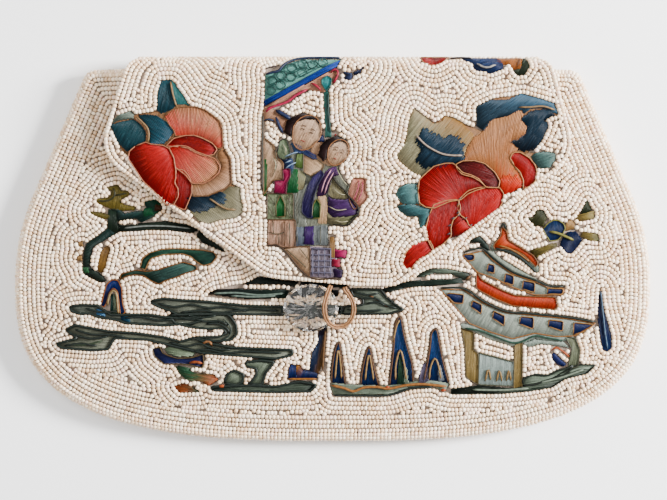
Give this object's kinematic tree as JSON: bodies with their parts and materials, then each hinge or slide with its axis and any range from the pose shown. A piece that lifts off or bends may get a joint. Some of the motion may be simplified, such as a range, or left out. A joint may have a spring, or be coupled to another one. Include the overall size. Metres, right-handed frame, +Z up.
{
  "type": "beaded envelope purse",
  "caption": "Flat envelope clutch covered in white seed beads, with silk-embroidered windows, a fold-over flap, a cut-glass button and a cord loop.",
  "frame": {"origin": "on the surface that the purse lies on, under the centre of its bounding box", "axes": "+X across the purse to the right as seen from its front, +Y from its bottom to the fold, +Z up, out of its front"},
  "size_m": [0.2286, 0.1382, 0.0205],
  "materials": {
    "ground_cloth": "woven cotton ground, matte",
    "seed_beads": "opaque white glass seed beads, glossy",
    "silk_embroidery": "satin-stitched silk floss, soft sheen",
    "cut_glass": "clear cut glass, polished",
    "loop_cord": "twisted silk cord, tan"
  },
  "bodies": {
    "root": {"back_panel": "ground_cloth", "front_panel": "ground_cloth", "flap_panel": "ground_cloth", "back_beadwork": "seed_beads", "front_beadwork": "seed_beads", "flap_beadwork": "seed_beads", "pine_tree_beads": "seed_beads", "pagoda_hall_beads": "seed_beads", "left_peony": "silk_embroidery", "right_peony": "silk_embroidery", "figure_group": "silk_embroidery", "top_petal": "silk_embroidery", "top_blossom": "silk_embroidery", "pine_tree": "silk_embroidery", "lake_top": "silk_embroidery", "lake_left": "silk_embroidery", "shore": "silk_embroidery", "curved_leaf": "silk_embroidery", "peaks": "silk_embroidery", "pagoda_roof": "silk_embroidery", "pagoda_hall": "silk_embroidery", "blossom_sprig": "silk_embroidery", "feather": "silk_embroidery", "lake_right": "silk_embroidery", "glass_button": "cut_glass", "button_loop": "loop_cord"}
  },
  "joints": []
}
